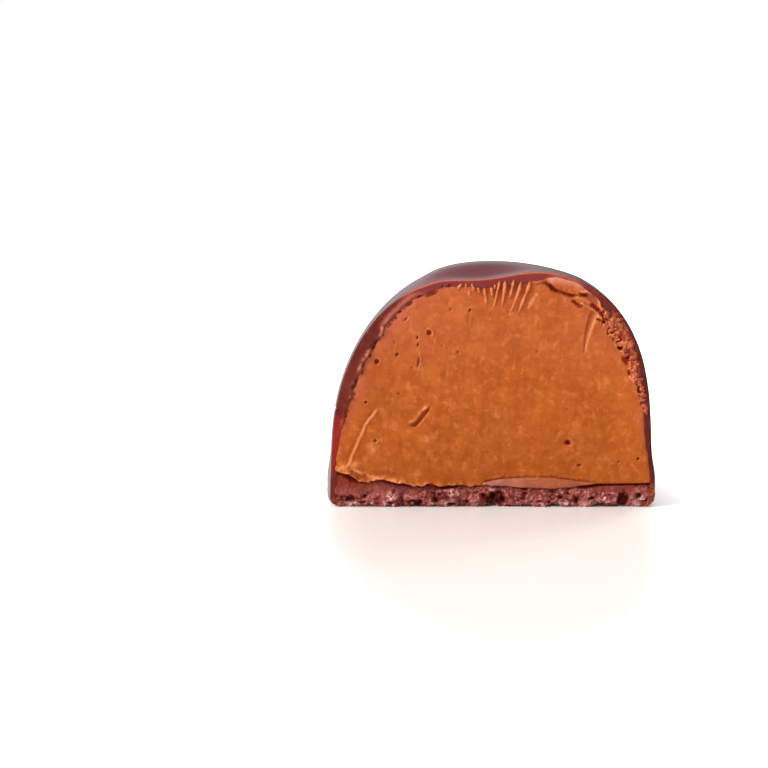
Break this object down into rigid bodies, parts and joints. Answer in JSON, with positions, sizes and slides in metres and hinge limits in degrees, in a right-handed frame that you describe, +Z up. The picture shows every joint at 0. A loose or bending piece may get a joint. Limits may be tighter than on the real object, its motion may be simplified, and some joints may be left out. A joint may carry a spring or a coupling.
{
  "type": "chocolate praline",
  "caption": "Moulded dome praline with its front sliced off, showing a thin glossy chocolate shell, a soft chocolate ganache filling and a thick crumbly chocolate foot.",
  "frame": {"origin": "the dome's axis at the underside of the foot", "axes": "+Z is up; the cut face looks along -Y; +X is to the right when the cut face is looked at from the front"},
  "size_m": [0.0304, 0.0182, 0.0223],
  "materials": {
    "shell_chocolate": "glossy tempered milk chocolate, cast against a polished mould, with a matt fracture where it is cut",
    "ganache": "soft, slightly greasy ganache with smear marks and small air holes",
    "foot_chocolate": "dull crumbly fracture through poured chocolate"
  },
  "bodies": {
    "root": {"shell": "shell_chocolate", "filling": "ganache", "foot": "foot_chocolate"}
  },
  "joints": []
}
